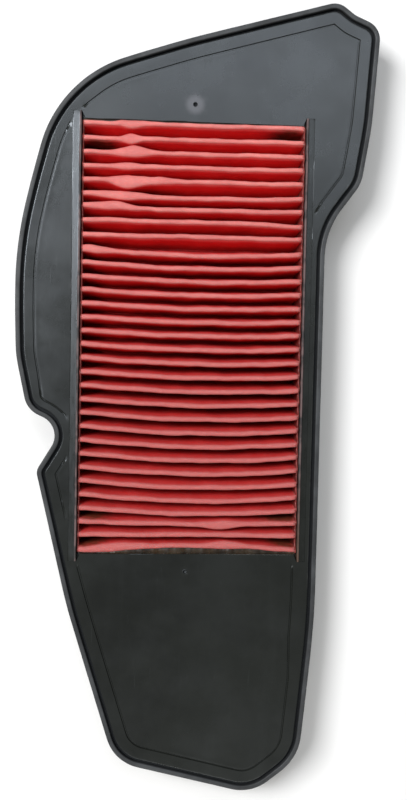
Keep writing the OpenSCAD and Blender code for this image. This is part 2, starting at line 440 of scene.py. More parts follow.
class Look:
    """A procedural material: a principled shader with textures measured in mm."""

    def __init__(self, name, **settings):
        self.material = bpy.data.materials.new(name)
        self.material.use_nodes = True
        self.tree = self.material.node_tree
        self.shader = self.tree.nodes["Principled BSDF"]
        for key, value in settings.items():
            self.shader.inputs[key.replace("_", " ")].default_value = value
        self.place = self.tree.nodes.new("ShaderNodeTexCoord").outputs["Object"]
        self.normal = None

    def node(self, kind, links=None, **settings):
        made = self.tree.nodes.new("ShaderNode" + kind)
        for key, value in settings.items():
            setattr(made, key, value)
        for key, value in (links or {}).items():
            socket = made.inputs[key]
            if isinstance(value, bpy.types.NodeSocket):
                self.tree.links.new(value, socket)
            else:
                socket.default_value = (*value, 1) if socket.type == "RGBA" else value
        return made

    def noise(self, size, detail=3.0, roughness=0.55, stretch=(1, 1, 1), distortion=0.0):
        """Noise whose features are about size mm, drawn out along an axis by stretch."""
        vector = self.place
        if stretch != (1, 1, 1):
            squeezed = [1 / s for s in stretch]
            vector = self.node("Mapping", {"Vector": self.place, "Scale": squeezed}).outputs["Vector"]
        links = {"Vector": vector, "Scale": 1 / (size * MM), "Detail": detail,
                 "Roughness": roughness, "Distortion": distortion}
        return self.node("TexNoise", links).outputs["Fac"]

    def value(self, name):
        return self.node("Attribute", attribute_name=name).outputs["Fac"]

    def spread(self, fac, low, high, to_low=0.0, to_high=1.0):
        links = {"Value": fac, "From Min": low, "From Max": high, "To Min": to_low, "To Max": to_high}
        return self.node("MapRange", links, interpolation_type="SMOOTHSTEP").outputs["Result"]

    def patches(self, size, detail, roughness=0.55, low=0.0, high=1.0):
        """Noise spread out so that it reaches both low and high."""
        return self.spread(self.noise(size, detail, roughness), 0.3, 0.7, low, high)

    def add(self, a, b):
        return self.node("Math", {0: a, 1: b}, operation="ADD").outputs["Value"]

    def times(self, a, b):
        return self.node("Math", {0: a, 1: b}, operation="MULTIPLY").outputs["Value"]

    def mix(self, fac, a, b):
        return self.node("Mix", {0: fac, 6: a, 7: b}, data_type="RGBA").outputs[2]

    def colour(self, socket):
        self.tree.links.new(socket, self.shader.inputs["Base Color"])

    def roughness(self, socket):
        self.tree.links.new(socket, self.shader.inputs["Roughness"])

    def bump(self, height, depth, strength=1.0):
        """Adds relief of depth mm to what is there."""
        links = {"Height": height, "Distance": depth * MM, "Strength": strength}
        if self.normal:
            links["Normal"] = self.normal
        self.normal = self.node("Bump", links).outputs["Normal"]
        self.tree.links.new(self.normal, self.shader.inputs["Normal"])

    def worn(self, tone, bare):
        """A tone that turns to a bare one where the surface turns outwards, broken up by noise."""
        point = self.node("NewGeometry").outputs["Pointiness"]
        wear = self.times(self.spread(point, 0.52, 0.6), self.noise(3, 4))
        return self.mix(self.spread(wear, 0, 1, 0, 0.5), tone, bare)


# Settings and tones that more than one material has
BLACK_GLOSS = {"Specular_IOR_Level": 0.6, "Specular_Tint": (0.84, 0.91, 1.0, 1)}
BLACK_PLASTIC = (0.009, 0.0097, 0.0078)
# Painted shade for the groove by the flange, the seal's inner side and the gate pits, where the parts are
# also dull with dirt
RECESS_SHADE = (0.005, 0.0056, 0.006)


def moulded_plastic():
    """Satin black polypropylene: fine grain, flow marks, handling scuffs and paler edges."""
    look = Look("moulded_plastic", **BLACK_GLOSS)
    tone = look.mix(look.patches(38, 4, 0.6), BLACK_PLASTIC, (0.015, 0.0163, 0.0138))
    flow = look.spread(look.noise(16, 3, 0.5, (1, 7, 1), 0.8), 0.5, 0.8, 0, 0.35)
    tone = look.mix(flow, tone, (0.023, 0.025, 0.023))
    # Painted highlight: a paler halo round each gate, standing in for a lit shallow dish
    tone = look.mix(look.spread(look.value("gate_halo_highlight"), 0, 1, 0, 0.6), tone, (0.115, 0.112, 0.122))
    # Painted shade in the groove by the flange and in the gate pits, with dull dirt there too
    recess_shade_and_dirt = look.value("recess_shade_and_dirt")
    look.colour(look.mix(recess_shade_and_dirt, look.worn(tone, (0.10, 0.10, 0.10)), RECESS_SHADE))
    scuffs = look.spread(look.noise(1.1, 6, 0.7, (1, 14, 1), 0.5), 0.6, 0.75)
    rough = look.add(look.patches(22, 5, 0.6, 0.25, 0.33), look.times(scuffs, 0.09))
    look.roughness(look.add(rough, look.times(recess_shade_and_dirt, 0.6)))
    look.bump(look.noise(0.45, 2, 0.5), 0.012, 0.5)
    look.bump(look.noise(9, 3, 0.5), 0.06, 0.5)
    look.bump(scuffs, 0.008, 0.4)
    return look.material


def seal_rubber():
    """Dark nitrile rubber: greyer bloom in patches, tiny pits and dust that clings to the bead."""
    look = Look("seal_rubber", Specular_IOR_Level=0.3)
    bloom = look.spread(look.noise(14, 5, 0.65), 0.35, 0.7)
    tone = look.mix(bloom, (0.030, 0.032, 0.034), (0.058, 0.062, 0.066))
    dust = look.spread(look.noise(0.8, 3, 0.6), 0.66, 0.78, 0, 0.6)
    tone = look.mix(dust, tone, (0.20, 0.20, 0.19))
    # Painted shade on the seal's inner side across the groove, with dull dirt there too
    recess_shade_and_dirt = look.value("recess_shade_and_dirt")
    look.colour(look.mix(recess_shade_and_dirt, tone, RECESS_SHADE))
    look.roughness(look.add(look.patches(6, 4, low=0.4, high=0.58), look.times(recess_shade_and_dirt, 0.4)))
    look.bump(look.noise(0.3, 3, 0.6), 0.02, 0.5)
    look.bump(look.noise(5, 2), 0.06, 0.4)
    return look.material


def oiled_paper():
    """Red oiled filter paper: fibres, painted shade towards the foot, crests painted paler as highlight and
    wear, and brown soaked ends.
    """
    look = Look("oiled_paper", Specular_IOR_Level=0.12, Subsurface_Weight=0.3, Subsurface_Scale=0.0012)
    look.shader.inputs["Subsurface Radius"].default_value = (1.0, 0.12, 0.1)
    fibre = look.noise(0.55, 5, 0.7, (4, 1, 1), 0.4)
    cloud = look.patches(9, 4, 0.6)
    # Painted shade: both paper tones darken towards the foot of the pack
    foot_shade = look.value("foot_shade")
    deep = look.mix(foot_shade, look.mix(cloud, (0.79, 0.058, 0.061), (0.87, 0.083, 0.088)), (0.62, 0.034, 0.034))
    # Crests are painted paler pink than the walls: a painted highlight, with some wear
    crest_highlight_tone = look.mix(foot_shade, look.mix(cloud, (0.58, 0.165, 0.155), (0.70, 0.225, 0.208)), (0.47, 0.125, 0.120))
    tone = look.mix(look.spread(look.value("crest"), 0.1, 0.95), deep, crest_highlight_tone)
    tone = look.mix(look.spread(fibre, 0.45, 0.75, 0, 0.18), tone, (0.92, 0.34, 0.30))
    soaked = look.times(look.value("soaked"), look.spread(look.noise(3, 4), 0.2, 0.8, 0.6, 1.2))
    look.colour(look.mix(look.spread(soaked, 0.1, 0.9, 0, 0.85), tone, (0.085, 0.030, 0.010)))
    look.roughness(look.patches(4, 4, low=0.52, high=0.74))
    look.bump(fibre, 0.05, 0.6)
    look.bump(look.noise(2.2, 4, 0.6, (2.5, 1, 1)), 0.12, 0.5)
    return look.material


def set_glue(name, clear, stained):
    """Set adhesive: glossy, clouded, stained where the filter was oiled and pitted where bubbles burst."""
    look = Look(name, Specular_IOR_Level=0.3, Subsurface_Weight=0.1, Subsurface_Scale=0.001)
    look.colour(look.mix(look.spread(look.noise(5, 4, 0.6), 0.35, 0.65), clear, stained))
    look.roughness(look.patches(3, 3, low=0.34, high=0.55))
    bubbles = look.node("TexVoronoi", {"Vector": look.place, "Scale": 1 / (1.6 * MM)})
    look.bump(look.spread(bubbles.outputs["Distance"], 0.05, 0.3), 0.06, 0.5)
    look.bump(look.noise(1.5, 3), 0.12, 0.6)
    return look.material


def strip_plastic():
    """Dark strip of pressed board in resin, rougher than the frame, stained along the pleats and painted
    paler on its lip as a highlight.
    """
    look = Look("strip_plastic", **BLACK_GLOSS)
    tone = look.mix(look.patches(18, 4), BLACK_PLASTIC, (0.016, 0.0173, 0.0145))
    # Painted highlight along the lip, pale pink, with oil stain from the paper
    lip_mask = look.value("lip_highlight_and_stain")
    lip_highlight_and_stain = look.times(lip_mask, look.spread(look.noise(4, 5), 0.35, 0.65, 0.25, 1.0))
    tone = look.mix(look.spread(lip_highlight_and_stain, 0, 1, 0, 0.7), tone, (0.17, 0.105, 0.10))
    look.colour(look.mix(look.value("rust"), tone, (0.075, 0.040, 0.022)))
    weave = look.noise(1.2, 5, 0.7, (1, 5, 1))
    look.roughness(look.add(look.spread(weave, 0.3, 0.7, 0.26, 0.36), look.times(lip_mask, 0.35)))
    look.bump(weave, 0.04, 0.5)
    return look.material


def grid_plastic():
    """Near-black grid: coarser grain than the panel, with dull patches from release agent."""
    look = Look("grid_plastic", Specular_IOR_Level=0.5)
    tone = look.mix(look.patches(25, 4), (0.020, 0.021, 0.022), (0.036, 0.038, 0.040))
    look.colour(look.worn(tone, (0.13, 0.13, 0.13)))
    look.roughness(look.patches(9, 5, 0.6, 0.36, 0.6))
    look.bump(look.noise(0.5, 3, 0.6), 0.025, 0.6)
    return look.material


PLASTIC = moulded_plastic()
RUBBER = seal_rubber()
PAPER = oiled_paper()
POTTING = set_glue("potting_resin", (0.22, 0.040, 0.034), (0.12, 0.018, 0.016))
FLAP_GLUE = set_glue("flap_glue", (0.036, 0.023, 0.012), (0.016, 0.011, 0.007))
THREAD = set_glue("hot_melt", (0.72, 0.62, 0.50), (0.66, 0.40, 0.32))
STRIP = strip_plastic()
GRID = grid_plastic()


# ---------------------------------------------------------------- frame panel

def grown(corners, d):
    """A polygon, anticlockwise, with every side moved outwards by d."""
    before = unit(corners - np.roll(corners, 1, axis=0))
    after = unit(np.roll(corners, -1, axis=0) - corners)
    outward = [np.column_stack([v[:, 1], -v[:, 0]]) for v in (before, after)]
    turn = 1 + np.sum(outward[0] * outward[1], axis=1, keepdims=True)
    return corners + d * (outward[0] + outward[1]) / turn


def opening():
    """The hole in the panel: the window, the strips and the three-cornered notches at their ends."""
    x0, y0, x1, y1 = WINDOW
    left, right = STRIPS
    return np.array([
        (x0 + NOTCH_WIDTH, y0), (x0, left[1]), (left[0], left[1]), (left[0], left[3]), (x0, left[3]),
        (x0 + NOTCH_WIDTH, y1), (x1 - NOTCH_WIDTH, y1), (x1, right[3]), (right[2], right[3]),
        (right[2], right[1]), (x1, right[1]), (x1 - NOTCH_WIDTH, y0)
    ])[::-1]


def opening_ring(d, pitch=1.6):
    """Points round the opening, grown by d. Each side has the same number of them for every d."""
    corners, usual = grown(opening(), d), opening()
    sides = []
    for i, (a, b) in enumerate(zip(corners, np.roll(corners, -1, axis=0))):
        length = np.linalg.norm(usual[(i + 1) % len(usual)] - usual[i])
        count = max(1, int(round(length / pitch)))
        sides.append(a + (np.arange(count) / count)[:, None] * (b - a))
    return np.vstack(sides)


def line_drift(points):
    """How far the incised line strays inwards from its usual inset, which differs from side to side."""
    x, y = points[:, 0], points[:, 1]
    left = np.clip((-38 - x) / 8, 0, 1) * np.clip((y + 95) / 30, 0, 1)
    bay = np.exp(-((x + 52) ** 2 + (y + 2) ** 2) / 80)
    lower_right = np.clip((x - 20) / 6, 0, 1) * np.clip((-40 - y) / 10, 0, 1) * np.clip((y + 104) / 16, 0, 1)
    return 1.45 * lower_right - 0.85 * left - 1.1 * bay


def panel_height(points):
    """Height of the panel's upper face: a faint warp, the incised line and the low burr beside it."""
    x, y = points[:, 0], points[:, 1]
    depth = edge_distance(points) - LINE_INSET - line_drift(points)
    into = np.clip(depth / LINE_FLANK, 0, 1) * np.clip((LINE_WIDTH - depth) / LINE_FLANK, 0, 1)
    away = np.hypot(np.maximum(np.maximum(STRIPS[0][0] - x, x - STRIPS[1][2]), 0),
                    np.maximum(np.maximum(STRIPS[0][1] - y, y - STRIPS[0][3]), 0))
    fading = np.clip((away - 0.9) / 1.6, 0, 1)
    cut = LINE_DEPTH * into * into * (3 - 2 * into) * fading
    burr = 0.035 * np.exp(-((depth - LINE_WIDTH - 0.4) / 0.3) ** 2) * fading
    warp = 0.05 * ripple_2d(x, y, 5, 95) + 0.012 * ripple_2d(x, y, 8, 22)
    fade = np.clip((depth + LINE_INSET - FLANGE_INSET - 1.1) / 3, 0, 1)
    return PANEL_TOP - cut + burr * (0.6 + 0.4 * ripple_2d(x, y, 9, 30)) + (warp - 0.08) * fade


def line_rows():
    """Edges that keep the incised line crisp, cut where they would cross the opening."""
    rows = []
    near = grown(opening(), 0.9)
    for d in (-0.3, 0.0, LINE_FLANK, LINE_WIDTH - LINE_FLANK, LINE_WIDTH, LINE_WIDTH + 0.4, LINE_WIDTH + 0.9):
        inset = LINE_INSET + d
        wanted = inset + line_drift(edge.inset(stations, inset, reach=1.6))
        row = edge.inset(stations, wanted[:, None], reach=1.6)
        good = (edge_distance(row) > wanted - 0.03) & ~inside(row, near)
        breaks = np.where(~good)[0]
        row, good = (np.roll(v, -breaks[0], axis=0) for v in (row, good)) if len(breaks) else (row, good)
        runs, run = [], []
        for point, ok in zip(row, good):
            if ok and (not run or np.linalg.norm(point - run[-1]) > 0.35):
                run.append(point)
            elif not ok:
                runs.append(run)
                run = []
        runs.append(run)
        rows += [np.array(r) for r in runs if len(r) > 3]
    return rows


def circle(centre, radius, count=32):
    a = np.linspace(0, 2 * math.pi, count, endpoint=False)
    return np.column_stack([centre[0] + radius * np.cos(a), centre[1] + radius * np.sin(a)])


def raised(points, z):
    return np.column_stack([points, np.broadcast_to(z, len(points))])


# Inset from the outer edge and height, from the panel's face round the flange and tongue to its underside
FLANGE_SECTION = [
    (3.16, PANEL_TOP), (3.07, PANEL_TOP - 0.02), (3.02, PANEL_TOP - 0.07), (3.0, PANEL_TOP - 0.16),
    (3.0, TONGUE_TOP + 0.1), (2.92, TONGUE_TOP), (1.16, TONGUE_TOP), (1.04, TONGUE_TOP - 0.05),
    (1.0, TONGUE_TOP - 0.2), (1.0, TONGUE_UNDER + 0.2), (1.04, TONGUE_UNDER + 0.05), (1.16, TONGUE_UNDER),
    (2.92, TONGUE_UNDER), (3.0, TONGUE_UNDER - 0.1), (3.0, FLANGE_UNDER + 0.2),
    (3.07, FLANGE_UNDER + 0.05), (3.24, FLANGE_UNDER), (4.36, FLANGE_UNDER),
    (4.53, FLANGE_UNDER + 0.05), (4.6, FLANGE_UNDER + 0.2), (4.6, PANEL_UNDER - 0.3),
    (4.68, PANEL_UNDER - 0.08), (4.9, PANEL_UNDER)
]


def flange_rings():
    """Rings of points from the panel's face, round the flange and tongue, to the underside."""
    # Where the pocket comes close to the flange, the flange's inner side is drawn back from it
    kept, widest = 3.3, 5.2
    room = np.full(EDGE_STATIONS, widest)
    near_pocket = grown(opening(), 0.15)
    for d in np.arange(widest, kept + 0.1, -0.05):
        room[inside(edge.inset(stations, d, reach=2.0), near_pocket)] = d
    narrowing = np.clip((room - 0.3 - kept) / 1.6, 0.1, 1)
    rings = []
    for d, z in FLANGE_SECTION:
        inset = np.where(d > kept, kept + (d - kept) * narrowing, d)
        rings.append(raised(edge.inset(stations, inset[:, None], reach=0.8 if d < 3.5 else 2.0), z))
    return rings


def upper_face(shell, rim, rim_number, pits):
    """The panel's upper face. Gives the point numbers round the window and round each pit."""
    hole = opening_ring(0.05)
    # The rings after the incised line keep the rounded edges' shading from spreading over the flat face
    lines = line_rows() + [opening_ring(0.3), edge.inset(stations, 3.45, reach=0.8),
                           *[circle(g, GATE_RADIUS + 0.25) for g in GATES]]
    spots = hexagonal(frame_low, frame_high, 2.3)
    spots = spots[inside(spots, rim) & ~inside(spots, grown(opening(), 0.9))]
    spots = spots[edge_distance(spots) > 4.2]
    spots = clear_of(spots, [*pits, *lines], 0.75)
    halo = [circle(g, r) for g in GATES for r in (GATE_RADIUS + 0.7, GATE_RADIUS + 1.4)]
    spots = np.vstack([clear_of(spots, halo, 0.8), *halo])
    points, triangles = plan_triangles(rim, [hole, *pits], lines, spots)
    skin = raised(points, panel_height(points))[EDGE_STATIONS:]
    number = np.concatenate([rim_number, np.arange(len(skin)) + shell.add(skin)])
    for triangle in triangles:
        shell.face(*number[triangle])
    sizes = [len(loop) for loop in (hole, *pits)]
    return np.split(number[EDGE_STATIONS:], np.cumsum(sizes))[:-1]


def sunk(shell, row, profile):
    """Bands that lead down from a row of points, one for each (plan, height). Gives the last row."""
    for plan, z in profile:
        following = np.arange(len(row)) + shell.add(raised(plan, z))
        shell.band(row, following)
        row = following
    return row


def underside(shell, rim, rim_number, window_number):
    spots = hexagonal(frame_low, frame_high, 7)
    spots = spots[~inside(spots, grown(opening(), 3)) & inside(spots, rim)]
    spots = spots[edge_distance(spots) > 8]
    points, triangles = plan_triangles(rim, [opening_ring(0.0)], [], spots)
    first = shell.add(raised(points[EDGE_STATIONS + len(window_number):], PANEL_UNDER))
    number = np.concatenate([rim_number, window_number, first + np.arange(len(points))])
    for triangle in triangles:
        shell.face(*number[triangle][::-1])


def panel_plate():
    """The panel with its flange, tongue and gate pits, as one closed skin."""
    shell = Shell()
    rings = flange_rings()
    numbers = [np.arange(EDGE_STATIONS) + shell.add(ring) for ring in rings]
    for a, b in zip(numbers, numbers[1:]):
        shell.band(a, b)
    pits = [circle(g, GATE_RADIUS + 0.12) for g in GATES]
    window_row, *pit_rows = upper_face(shell, rings[0][:, :2], numbers[0], pits)
    window_row = sunk(shell, window_row, [
        (opening_ring(0.015), PANEL_TOP - 0.1), (opening_ring(0.0), PANEL_TOP - 0.14),
        (opening_ring(0.0), PANEL_UNDER)
    ])
    for centre, row in zip(GATES, pit_rows):
        profile = ((0.04, 0.05), (0.0, 0.16), (0.0, GATE_DEPTH - 0.2), (-0.25, GATE_DEPTH))
        shell.face(*sunk(shell, row, [(circle(centre, GATE_RADIUS + grow), PANEL_TOP - z)
                                      for grow, z in profile]))
    underside(shell, rings[-1][:, :2], numbers[-1], window_row)
    return shell


def in_pocket(x, y, wall):
    blocks = [WINDOW, *STRIPS]
    return any(b[0] - wall < x < b[2] + wall and b[1] - wall < y < b[3] + wall for b in blocks)


def pocket_planes(axis, walls):
    """Every coordinate at which the pocket's walls change along one axis."""
    places = []
    for block in (WINDOW, *STRIPS):
        for wall in walls:
            places += [block[axis] - wall, block[axis + 2] + wall]
    return places


def under_ribs():
    """The underside ribs as (x0, y0, x1, y1), read from the CAD model's straight rib walls."""
    sides = {0: {}, 1: {}}
    for a, b in wall_edges("frame_panel", FLANGE_UNDER):
        for axis in (0, 1):
            if abs(a[axis] - b[axis]) < 0.002 and abs(a[1 - axis] - b[1 - axis]) > 4:
                sides[axis].setdefault(round(a[axis], 2), []).extend([a[1 - axis], b[1 - axis]])
    ribs = []
    for axis, found in sides.items():
        for place in sorted(found):
            partner = round(place + RIB_WIDTH, 2)
            if partner not in found:
                continue
            low, high = min(found[place] + found[partner]), max(found[place] + found[partner])
            ends = (place, low, partner, high) if axis == 0 else (low, place, high, partner)
            ribs.append(ends)
    return ribs


def catch_spans(length):
    """Where the catches lie along the pocket's long sides, as (start, end)."""
    pocket_length = grid_high[1] - grid_low[1] - 2 * (LIP_WALL + LIP_GAP)
    middle = (grid_low[1] + grid_high[1]) / 2
    return [(middle + p * pocket_length - length / 2, middle + p * pocket_length + length / 2)
            for p in CATCH_PLACES]


def build_plate():
    plate = panel_plate()
    points = np.vstack(plate.points)
    gate_halo_highlight = np.zeros(len(points))
    depth = edge_distance(points[:, :2])
    # Painted shade, with dull dirt, on the flange's outer side and the groove floor, and inside the gate pits
    recess_shade_and_dirt = ((depth < FLANGE_INSET + 0.02) & (points[:, 2] > TONGUE_TOP - 0.1)
             & (points[:, 2] < PANEL_TOP - 0.2)).astype(float)
    # Round each gate a painted highlight, a paler halo that fades outwards
    for centre, size, weight, pit_shade in ((GATES[0], 4.4, 1.0, 1.0), (GATES[1], 2.4, 0.12, 0.5)):
        reach = np.linalg.norm(points[:, :2] - centre, axis=1)
        pit = (reach < GATE_RADIUS + 0.05) & (points[:, 2] < PANEL_TOP - 0.03)
        gate_halo_highlight += weight * np.clip(1 - (reach / size) ** 3, 0, 1) * ~pit
        recess_shade_and_dirt += pit_shade * pit
    plate.piece("frame_panel_plate", PLASTIC, "frame", ["frame_panel"],
                values={"gate_halo_highlight": gate_halo_highlight, "recess_shade_and_dirt": np.clip(recess_shade_and_dirt, 0, 1)})


def build_pocket():
    pocket = Shell()
    walls = (0, POCKET_WALL)
    block_solid(pocket, pocket_planes(0, walls), pocket_planes(1, walls), [POCKET_FLOOR, PANEL_UNDER],
                lambda x, y, z: in_pocket(x, y, POCKET_WALL) and not in_pocket(x, y, 0))
    pocket.piece("frame_pocket", PLASTIC, "frame", ["frame_panel"], bevel=0.25)


def build_catches():
    """The catches that the grid snaps over, each a wedge that leans out towards the panel."""
    catches = Shell()
    outer = STRIPS[0][0] - POCKET_WALL, STRIPS[1][2] + POCKET_WALL
    low, high = CATCH_LEVEL - CATCH_HEIGHT / 2, CATCH_LEVEL + CATCH_HEIGHT / 2
    for x, way in zip(outer, (-1, 1)):
        for start, end in catch_spans(CATCH_LENGTH):
            section = [(x - 0.2 * way, low), (x + 0.1 * way, low), (x + CATCH_PROUD * way, high - 0.25),
                       (x + CATCH_PROUD * way, high - 0.05), (x - 0.2 * way, high - 0.05)]
            catches.tube([[(sx, y, sz) for sx, sz in section] for y in (start, end)])
    catches.piece("frame_catches", PLASTIC, "frame", ["frame_panel"], bevel=0.08)


def build_ribs():
    ribs = Shell()
    for x0, y0, x1, y1 in under_ribs():
        block_solid(ribs, [x0, x1], [y0, y1], [FLANGE_UNDER, PANEL_UNDER], lambda x, y, z: True)
    ribs.piece("frame_ribs", PLASTIC, "frame", ["frame_panel"], bevel=0.22)


# ---------------------------------------------------------------- seal

def seal_section():
    """The seal's U section round the tongue, as inset from the outer edge and height."""
    top, under = seal_high[2], seal_low[2]
    slot_top, slot_under = TONGUE_TOP + 0.02, TONGUE_UNDER - 0.02
    radius, squareness = SEAL_LEG / 2, 0.45
    crown = [(radius - radius * math.copysign(abs(math.cos(a)) ** squareness, math.cos(a)),
              top - radius + radius * math.sin(a) ** squareness) for a in np.linspace(0, math.pi, 13)]
    belly = [(radius + radius * math.cos(a), under + radius - radius * math.sin(a))
             for a in np.linspace(0, math.pi, 9)]
    middle = (top + under) / 2
    return np.array([
        *crown, (SEAL_LEG, slot_top + 0.1), (SEAL_LEG - 0.06, slot_top), (1.0, slot_top),
        (1.0, slot_under), (SEAL_LEG - 0.06, slot_under), (SEAL_LEG, slot_under - 0.1), *belly,
        (0.02, middle - 0.12), (0.0, middle), (0.02, middle + 0.12)
    ])


def swept_seal(s, proud=0.0):
    """The seal's section at each station along the edge, slightly uneven as moulded rubber is."""
    points, inward = edge.point(s), edge.inward(s)
    width = 0.035 * (1 + ripple(s, 21, 60))
    sink = 0.05 * (1 + ripple(s, 22, 45)) + 0.02
    rows = []
    for d, z in seal_section():
        upper = z > TONGUE_TOP + 0.5
        side = 1 - abs(d - SEAL_LEG / 2) / (SEAL_LEG / 2)
        inset = d + width * (d < 0.5) - proud * (d > 1.2)
        height = np.minimum(z + upper * side * (0.5 * proud - sink), seal_high[2])
        rows.append(np.column_stack([points + inset[:, None] * inward, height]))
    return np.stack(rows, axis=1)


def seal_recess_shade(count):
    """Painted shade, with dull dirt, on the seal's inner side, where it faces the flange across the open
    groove.
    """
    section = seal_section()
    inset, height = section.T
    shaded = (inset > SEAL_LEG - 0.25) & (height > TONGUE_TOP) & (height < seal_high[2] - 0.5)
    return {"recess_shade_and_dirt": np.tile(0.35 * shaded, count)}


def build_seal():
    centre = (joint_low[:2] + joint_high[:2]) / 2
    spread = np.linalg.norm(edge_points - centre, axis=1)
    joint_at = stations[np.argmin(spread)]
    half = (joint_high[1] - joint_low[1]) / 2
    seal = Shell()
    seal.tube(swept_seal(np.linspace(joint_at + half, joint_at + edge.length - half, EDGE_STATIONS)))
    seal.piece("perimeter_seal_ring", RUBBER, "seal", ["perimeter_seal"], values=seal_recess_shade(EDGE_STATIONS))
    joint = Shell()
    joint_stations = np.linspace(joint_at - half, joint_at + half, 9)
    joint.tube(swept_seal(joint_stations, proud=0.03))
    joint.piece("seal_joint_flash", RUBBER, "seal", ["seal_joint"], values=seal_recess_shade(len(joint_stations)))


# ---------------------------------------------------------------- pleated paper

FOLD_COUNT = 32
END_PITCH = 5.3
LAST_PITCH = 5.65
PAPER_HALF = 0.3
CREST_HALF = 0.80
CREST_TOP = paper_high[2]
PAPER_UNDER = paper_low[2]
PACK_MIDDLE = (paper_low[1] + paper_high[1]) / 2 + 0.25
FOLD_PITCH = (paper_high[1] - paper_low[1] - 1.7 - 2 * END_PITCH) / (FOLD_COUNT - 3)
COLUMNS = 80

# Folds pressed wide during handling: fold, place across, half length, extra half width, shift along
SQUASHES = [
    (0, -24.8, 7, 0.7, 0.3), (1, -24.8, 5, 1.15, 0.0), (2, -23.8, 9, 1.35, 0.5), (3, -25.8, 7, 0.55, 0.3),
    (4, -25.8, 9, 1.7, -0.5), (4, -14.8, 10, 0.6, 0.2), (5, -27.8, 13, 0.85, 0.0), (6, -31.8, 11, 0.75, 0.1),
    (9, -37.8, 9, 0.6, 0.0), (29, 11.2, 10, 0.8, -0.2), (31, -28.8, 15, 0.8, 0.3), (31, 12.2, 10, 0.6, 0.3)
]
# Folds that step sideways part of the way across: fold, place across, length of the step, shift before it
STEPS = [(6, -25.8, 7, 0.8), (7, 29.2, 16, 0.9), (0, -14.8, 12, 0.2)]
# How far the middle of a fold bows towards the foot, by fold number
BOW_FOLDS = [0, 4, 5, 6, 8, 9, 11, 15, 22, 27, 28, 29, 30, 31]
BOW_SIZES = [0, 0.1, 1.1, 0.3, 0, 1.9, 1.4, 1.2, 2.1, 2.2, 1.9, 0.8, -0.3, -1.9]


def fold_place(k):
    """Where the middle of fold k lies along the pack, before it wanders."""
    inner = (FOLD_COUNT - 3) * FOLD_PITCH / 2
    if k == 0:
        return PACK_MIDDLE + inner + END_PITCH
    if k == FOLD_COUNT - 1:
        return PACK_MIDDLE - inner - LAST_PITCH
    return PACK_MIDDLE + inner - (k - 1) * FOLD_PITCH


FOLD_PLACES = np.array([fold_place(k) for k in range(FOLD_COUNT)])


def crest_line(k, x):
    """Centre line, half width and height of fold k's crest across the pack."""
    tilt = np.interp(k, [0, 8, 17, 31], [0.35, 0.1, -0.25, -0.05]) * x / 40
    bow = np.interp(k, BOW_FOLDS, BOW_SIZES) * np.clip(1 - ((x - 2) / 42) ** 2, 0, 1)
    noise = 0.16 * ripple(x, 100 + k, 38) + 0.04 * ripple(x, 140 + k, 9)
    centre = FOLD_PLACES[k] + tilt - bow + noise
    half = CREST_HALF + 0.004 * k + 0.07 * ripple(x, 200 + k, 26)
    top = CREST_TOP - 0.14 * (1 + ripple(x, 300 + k, 34)) / 2 - 0.02
    for fold, at, reach, extra, shift in SQUASHES:
        if fold == k:
            swell = np.clip(1 - np.abs(x - at) / reach, 0, 1)
            swell = swell * swell * (3 - 2 * swell) * 0.5 + swell * 0.5
            half, centre, top = half + extra * swell, centre + shift * swell, top - 0.1 * extra * swell
    for fold, at, reach, shift in STEPS:
        if fold == k:
            before = np.clip((at + reach / 2 - x) / reach, 0, 1)
            centre = centre + shift * (before * before * (3 - 2 * before) - 0.5 * (shift > 0.85))
    end = np.clip((np.abs(x - (WINDOW[0] + WINDOW[2]) / 2) - 38.6) / 1.7, 0, 1)
    top = top - 0.35 * end**2
    return np.clip(centre, WINDOW[1] + 0.08 + half, WINDOW[3] - 0.08 - half), half, top


def arch(centre, half, peak, tall, angles):
    """Points over a rounded fold, as (along, height) for each angle."""
    return [(centre - half * np.cos(a), peak - tall * (1 - np.sin(a))) for a in angles]


def paper_path(x):
    """The paper's middle surface across the pack: along, height and crest mark for each step of the path."""
    crests = [crest_line(k, x) for k in range(FOLD_COUNT)]
    folds = []
    for centre, half, top in crests:
        tall = 0.52 + 0.12 * (half - PAPER_HALF - 0.6)
        folds.append(arch(centre, half - PAPER_HALF, top - PAPER_HALF, tall, np.linspace(math.pi, 0, 6)))
    rear_half = 0.85 - PAPER_HALF
    depth = PAPER_UNDER + PAPER_HALF
    steps, mark = [], []

    def wall(start, end, parts, lean=0.0):
        """Steps down or up a pleat's wall, with a painted highlight just below a crest."""
        for t in parts:
            steps.append((start[0] + t * (end[0] - start[0]) + lean * math.sin(math.pi * t),
                          start[1] + t * (end[1] - start[1])))
            mark.append(0.28 if t in (0.12, 0.88) else 0.0)

    wall((folds[0][0][0], depth), folds[0][0], (0.0, 0.25, 0.5, 0.75))
    for k, fold in enumerate(folds):
        steps += fold
        # Painted highlight over each crest, strongest at its top
        mark += [0.55, 0.95, 1.0, 1.0, 0.95, 0.55]
        if k == FOLD_COUNT - 1:
            wall(fold[-1], (fold[-1][0], depth), (0.25, 0.5, 0.75, 1.0))
            break
        straight = (FOLD_PLACES[k] + FOLD_PLACES[k + 1]) / 2
        valley = 0.55 * straight + 0.45 * (crests[k][0] + crests[k + 1][0]) / 2
        rear = [(valley + rear_half * math.cos(a), depth + 0.55 * (1 - math.sin(a)))
                for a in np.linspace(0, math.pi, 5)]
        belly = 0.18 * ripple(x, 400 + k, 30)
        wall(fold[-1], rear[0], (0.12, 0.4, 0.7), belly)
        steps += rear
        mark += [0.0] * len(rear)
        wall(rear[-1], folds[k + 1][0], (0.3, 0.6, 0.88), belly)
    along = np.array([np.broadcast_to(s[0], x.shape) for s in steps])
    height = np.array([np.broadcast_to(s[1], x.shape) for s in steps])
    return along, height, np.array(mark)


